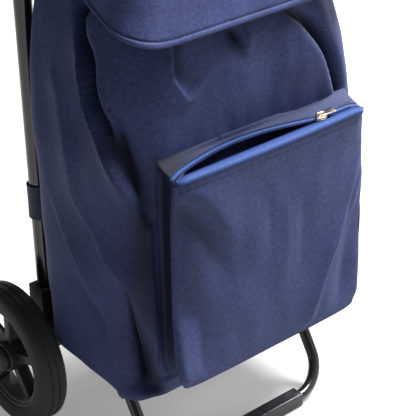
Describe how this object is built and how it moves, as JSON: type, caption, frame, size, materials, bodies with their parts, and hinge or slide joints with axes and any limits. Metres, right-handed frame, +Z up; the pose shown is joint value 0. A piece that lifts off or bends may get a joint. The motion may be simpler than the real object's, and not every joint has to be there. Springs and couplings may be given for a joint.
{
  "type": "shopping trolley",
  "caption": "Two-wheeled shopping trolley: a navy fabric bag with lid flap and zipped front pocket on a black tubular frame with a folding foot.",
  "frame": {"origin": "on the ground under the middle of the trolley", "axes": "+Z up, -Y towards the front pocket, +X to the right seen from the front"},
  "size_m": [0.379, 0.318, 1.045],
  "materials": {
    "bag_fabric": "woven polyester, navy",
    "webbing": "woven tape, dark navy",
    "zip_tape": "knitted zip tape, royal blue",
    "zip_teeth": "moulded coil, blue",
    "slider_metal": "warm nickel plate",
    "painted_tube": "gloss black epoxy paint",
    "zinc_steel": "zinc plated",
    "black_plastic": "moulded, fine grain",
    "sleeve_plastic": "moulded, dark grey",
    "tyre": "foamed rubber tread",
    "grip_foam": "closed-cell foam",
    "base_board": "hardboard"
  },
  "bodies": {
    "frame": {"left_upright": "painted_tube", "right_upright": "painted_tube", "handle_tube": "painted_tube", "handle_grip": "grip_foam", "left_joint_collar": "black_plastic", "right_joint_collar": "black_plastic", "left_collar_screw": "zinc_steel", "right_collar_screw": "zinc_steel", "front_crossbar": "painted_tube", "rear_crossbar": "painted_tube", "lower_back_crossbar": "painted_tube", "upper_back_crossbar": "painted_tube", "left_platform_arm": "painted_tube", "right_platform_arm": "painted_tube", "left_arm_plug": "black_plastic", "right_arm_plug": "black_plastic", "left_axle_block": "black_plastic", "right_axle_block": "black_plastic", "axle": "zinc_steel", "left_axle_spacer": "black_plastic", "right_axle_spacer": "black_plastic", "left_axle_cap": "black_plastic", "right_axle_cap": "black_plastic", "left_foot_bracket": "painted_tube", "right_foot_bracket": "painted_tube", "left_foot_pin": "zinc_steel", "right_foot_pin": "zinc_steel", "left_bag_clip": "black_plastic", "right_bag_clip": "black_plastic", "left_lower_loop": "webbing", "right_lower_loop": "webbing", "bag_body": "bag_fabric", "base_board": "base_board", "closure_loop_tape": "webbing", "left_neck_eyelet": "slider_metal", "right_neck_eyelet": "slider_metal", "front_pocket": "bag_fabric", "zip_tape_front": "zip_tape", "zip_tape_back": "zip_tape", "zip_teeth_front": "zip_teeth", "zip_teeth_back": "zip_teeth"},
    "left_wheel": {"left_tyre": "tyre", "left_wheel_rim": "black_plastic", "left_wheel_bush": "black_plastic"},
    "right_wheel": {"right_tyre": "tyre", "right_wheel_rim": "black_plastic", "right_wheel_bush": "black_plastic"},
    "foot": {"foot_tube": "painted_tube", "foot_sleeve": "sleeve_plastic"},
    "flap": {"flap": "bag_fabric", "closure_hook_tape": "webbing"},
    "slider": {"zip_slider": "slider_metal"},
    "pull": {"zip_pull": "slider_metal"}
  },
  "joints": [
    {"name": "left_wheel_spin", "type": "hinge", "parent": "frame", "child": "left_wheel", "pos_m": [-0.1655, 0.079, 0.08], "axis": [1, 0, 0], "continuous": true},
    {"name": "right_wheel_spin", "type": "hinge", "parent": "frame", "child": "right_wheel", "pos_m": [0.1655, 0.079, 0.08], "axis": [1, 0, 0], "continuous": true},
    {"name": "foot_fold", "type": "hinge", "parent": "frame", "child": "foot", "pos_m": [0, -0.06349, 0.0887], "axis": [1, 0, 0], "range_deg": [0, 120]},
    {"name": "flap_hinge", "type": "hinge", "parent": "frame", "child": "flap", "pos_m": [0, 0.066, 0.61215], "axis": [-1, 0, 0], "range_deg": [0, 70]},
    {"name": "zip_slide", "type": "slide", "parent": "frame", "child": "slider", "axis": [1, 0, 0], "range_m": [-0.169, 0.044]},
    {"name": "pull_hinge", "type": "hinge", "parent": "slider", "child": "pull", "pos_m": [0.0603, -0.15, 0.3778], "axis": [0, -1, 0], "range_deg": [0, 175]}
  ]
}
